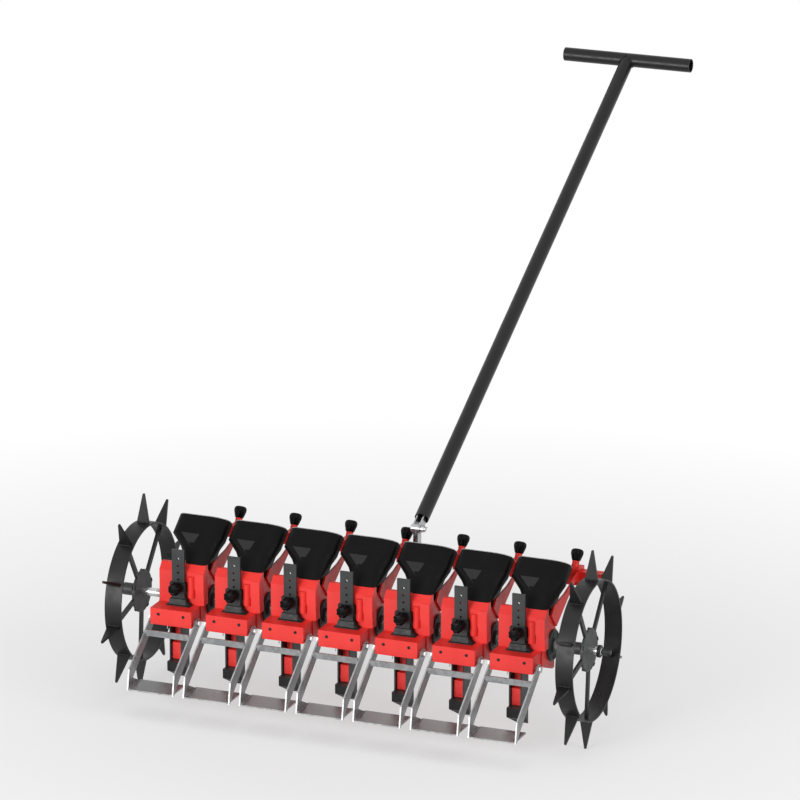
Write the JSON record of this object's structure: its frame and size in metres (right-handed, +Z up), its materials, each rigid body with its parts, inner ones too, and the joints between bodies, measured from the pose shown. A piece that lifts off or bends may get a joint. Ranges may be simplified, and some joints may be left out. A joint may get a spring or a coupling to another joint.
{
  "type": "walk-behind seed planter",
  "caption": "Hand-drawn row seeder: sowing units on one axle between spiked wheels, each with hopper, seed rotor, coulter shoe and drag frame, and a tilting T-handle.",
  "frame": {"origin": "on the ground under the spike tips, in the middle of the machine's footprint", "axes": "+X along the axle towards its bare rod end, +Y towards the handle and the direction it is pulled in, +Z up"},
  "size_m": [1.078, 1.6406, 1.0831],
  "materials": {
    "red_housing": "satin red moulding",
    "red_steel": "red powder coat",
    "black_plastic": "black moulding",
    "black_knob": "black star knob",
    "black_steel": "black powder coat",
    "black_tube": "satin black",
    "galvanised_sheet": "zinc plated",
    "zinc_steel": "zinc plated",
    "white_nylon": "white nylon",
    "brush_bristle": "packed bristles"
  },
  "bodies": {
    "frame": {"rear_bar": "red_steel", "bar_plugs": "black_plastic", "hoppers": "black_plastic", "side_arms": "red_steel", "clamp_saddles": "red_steel", "rotor_covers": "black_plastic", "axle_bushes": "black_plastic", "depth_guides": "black_plastic", "box_screws": "zinc_steel", "seed_tubes": "red_housing", "drag_pivots": "zinc_steel", "wiper_brushes": "brush_bristle", "handle_bracket": "zinc_steel", "handle_bolt": "zinc_steel", "housing_1": "red_housing", "housing_2": "red_housing", "housing_3": "red_housing", "housing_4": "red_housing", "housing_5": "red_housing", "housing_6": "red_housing", "housing_7": "red_housing"},
    "axle": {"axle_shaft": "zinc_steel", "axle_collar": "zinc_steel", "wheel_left": "black_steel", "wheel_right": "black_steel", "hub_left": "black_steel", "hub_right": "black_steel", "seed_rotors": "white_nylon"},
    "handle": {"handle_tube": "black_tube", "handle_grip": "black_tube", "handle_fork": "zinc_steel"},
    "wing_nut": {"wing_nut": "zinc_steel"},
    "coulter_1": {"coulter_1": "black_steel"},
    "depth_knob_1": {"depth_knob_1": "black_knob"},
    "clamp_knob_1": {"clamp_knob_1": "black_knob"},
    "drag_frame_1": {"drag_frame_1": "galvanised_sheet"},
    "coulter_2": {"coulter_2": "black_steel"},
    "depth_knob_2": {"depth_knob_2": "black_knob"},
    "clamp_knob_2": {"clamp_knob_2": "black_knob"},
    "drag_frame_2": {"drag_frame_2": "galvanised_sheet"},
    "coulter_3": {"coulter_3": "black_steel"},
    "depth_knob_3": {"depth_knob_3": "black_knob"},
    "clamp_knob_3": {"clamp_knob_3": "black_knob"},
    "drag_frame_3": {"drag_frame_3": "galvanised_sheet"},
    "coulter_4": {"coulter_4": "black_steel"},
    "depth_knob_4": {"depth_knob_4": "black_knob"},
    "clamp_knob_4": {"clamp_knob_4": "black_knob"},
    "drag_frame_4": {"drag_frame_4": "galvanised_sheet"},
    "coulter_5": {"coulter_5": "black_steel"},
    "depth_knob_5": {"depth_knob_5": "black_knob"},
    "clamp_knob_5": {"clamp_knob_5": "black_knob"},
    "drag_frame_5": {"drag_frame_5": "galvanised_sheet"},
    "coulter_6": {"coulter_6": "black_steel"},
    "depth_knob_6": {"depth_knob_6": "black_knob"},
    "clamp_knob_6": {"clamp_knob_6": "black_knob"},
    "drag_frame_6": {"drag_frame_6": "galvanised_sheet"},
    "coulter_7": {"coulter_7": "black_steel"},
    "depth_knob_7": {"depth_knob_7": "black_knob"},
    "clamp_knob_7": {"clamp_knob_7": "black_knob"},
    "drag_frame_7": {"drag_frame_7": "galvanised_sheet"}
  },
  "joints": [
    {"name": "wheels_and_rotors_turn", "type": "hinge", "parent": "frame", "child": "axle", "pos_m": [-0.0115, -0.6073, 0.20708], "axis": [1, 0, 0], "continuous": true},
    {"name": "handle_tilt", "type": "hinge", "parent": "frame", "child": "handle", "pos_m": [0.054, -0.4483, 0.36268], "axis": [1, 0, 0], "range_deg": [-40, 60]},
    {"name": "wing_nut_turn", "type": "hinge", "parent": "frame", "child": "wing_nut", "pos_m": [0.0675, -0.4483, 0.36268], "axis": [1, 0, 0], "range_deg": [0, 720]},
    {"name": "sowing_depth_1", "type": "slide", "parent": "frame", "child": "coulter_1", "axis": [0, 0, 1], "range_m": [-0.045, 0]},
    {"name": "depth_knob_turn_1", "type": "hinge", "parent": "frame", "child": "depth_knob_1", "pos_m": [-0.3865, -0.6873, 0.25058], "axis": [0, -1, 0], "range_deg": [0, 720]},
    {"name": "clamp_knob_turn_1", "type": "hinge", "parent": "frame", "child": "clamp_knob_1", "pos_m": [-0.3495, -0.4483, 0.31708], "axis": [0, 0.4384, 0.8988], "range_deg": [0, 720]},
    {"name": "drag_swing_1", "type": "hinge", "parent": "frame", "child": "drag_frame_1", "pos_m": [-0.3865, -0.6903, 0.18208], "axis": [1, 0, 0], "range_deg": [-40, 0]},
    {"name": "sowing_depth_2", "type": "slide", "parent": "frame", "child": "coulter_2", "axis": [0, 0, 1], "range_m": [-0.045, 0]},
    {"name": "depth_knob_turn_2", "type": "hinge", "parent": "frame", "child": "depth_knob_2", "pos_m": [-0.2615, -0.6873, 0.25058], "axis": [0, -1, 0], "range_deg": [0, 720]},
    {"name": "clamp_knob_turn_2", "type": "hinge", "parent": "frame", "child": "clamp_knob_2", "pos_m": [-0.2245, -0.4483, 0.31708], "axis": [0, 0.4384, 0.8988], "range_deg": [0, 720]},
    {"name": "drag_swing_2", "type": "hinge", "parent": "frame", "child": "drag_frame_2", "pos_m": [-0.2615, -0.6903, 0.18208], "axis": [1, 0, 0], "range_deg": [-40, 0]},
    {"name": "sowing_depth_3", "type": "slide", "parent": "frame", "child": "coulter_3", "axis": [0, 0, 1], "range_m": [-0.045, 0]},
    {"name": "depth_knob_turn_3", "type": "hinge", "parent": "frame", "child": "depth_knob_3", "pos_m": [-0.1365, -0.6873, 0.25058], "axis": [0, -1, 0], "range_deg": [0, 720]},
    {"name": "clamp_knob_turn_3", "type": "hinge", "parent": "frame", "child": "clamp_knob_3", "pos_m": [-0.0995, -0.4483, 0.31708], "axis": [0, 0.4384, 0.8988], "range_deg": [0, 720]},
    {"name": "drag_swing_3", "type": "hinge", "parent": "frame", "child": "drag_frame_3", "pos_m": [-0.1365, -0.6903, 0.18208], "axis": [1, 0, 0], "range_deg": [-40, 0]},
    {"name": "sowing_depth_4", "type": "slide", "parent": "frame", "child": "coulter_4", "axis": [0, 0, 1], "range_m": [-0.045, 0]},
    {"name": "depth_knob_turn_4", "type": "hinge", "parent": "frame", "child": "depth_knob_4", "pos_m": [-0.0115, -0.6873, 0.25058], "axis": [0, -1, 0], "range_deg": [0, 720]},
    {"name": "clamp_knob_turn_4", "type": "hinge", "parent": "frame", "child": "clamp_knob_4", "pos_m": [0.0255, -0.4483, 0.31708], "axis": [0, 0.4384, 0.8988], "range_deg": [0, 720]},
    {"name": "drag_swing_4", "type": "hinge", "parent": "frame", "child": "drag_frame_4", "pos_m": [-0.0115, -0.6903, 0.18208], "axis": [1, 0, 0], "range_deg": [-40, 0]},
    {"name": "sowing_depth_5", "type": "slide", "parent": "frame", "child": "coulter_5", "axis": [0, 0, 1], "range_m": [-0.045, 0]},
    {"name": "depth_knob_turn_5", "type": "hinge", "parent": "frame", "child": "depth_knob_5", "pos_m": [0.1135, -0.6873, 0.25058], "axis": [0, -1, 0], "range_deg": [0, 720]},
    {"name": "clamp_knob_turn_5", "type": "hinge", "parent": "frame", "child": "clamp_knob_5", "pos_m": [0.1505, -0.4483, 0.31708], "axis": [0, 0.4384, 0.8988], "range_deg": [0, 720]},
    {"name": "drag_swing_5", "type": "hinge", "parent": "frame", "child": "drag_frame_5", "pos_m": [0.1135, -0.6903, 0.18208], "axis": [1, 0, 0], "range_deg": [-40, 0]},
    {"name": "sowing_depth_6", "type": "slide", "parent": "frame", "child": "coulter_6", "axis": [0, 0, 1], "range_m": [-0.045, 0]},
    {"name": "depth_knob_turn_6", "type": "hinge", "parent": "frame", "child": "depth_knob_6", "pos_m": [0.2385, -0.6873, 0.25058], "axis": [0, -1, 0], "range_deg": [0, 720]},
    {"name": "clamp_knob_turn_6", "type": "hinge", "parent": "frame", "child": "clamp_knob_6", "pos_m": [0.2755, -0.4483, 0.31708], "axis": [0, 0.4384, 0.8988], "range_deg": [0, 720]},
    {"name": "drag_swing_6", "type": "hinge", "parent": "frame", "child": "drag_frame_6", "pos_m": [0.2385, -0.6903, 0.18208], "axis": [1, 0, 0], "range_deg": [-40, 0]},
    {"name": "sowing_depth_7", "type": "slide", "parent": "frame", "child": "coulter_7", "axis": [0, 0, 1], "range_m": [-0.045, 0]},
    {"name": "depth_knob_turn_7", "type": "hinge", "parent": "frame", "child": "depth_knob_7", "pos_m": [0.3635, -0.6873, 0.25058], "axis": [0, -1, 0], "range_deg": [0, 720]},
    {"name": "clamp_knob_turn_7", "type": "hinge", "parent": "frame", "child": "clamp_knob_7", "pos_m": [0.4005, -0.4483, 0.31708], "axis": [0, 0.4384, 0.8988], "range_deg": [0, 720]},
    {"name": "drag_swing_7", "type": "hinge", "parent": "frame", "child": "drag_frame_7", "pos_m": [0.3635, -0.6903, 0.18208], "axis": [1, 0, 0], "range_deg": [-40, 0]}
  ]
}
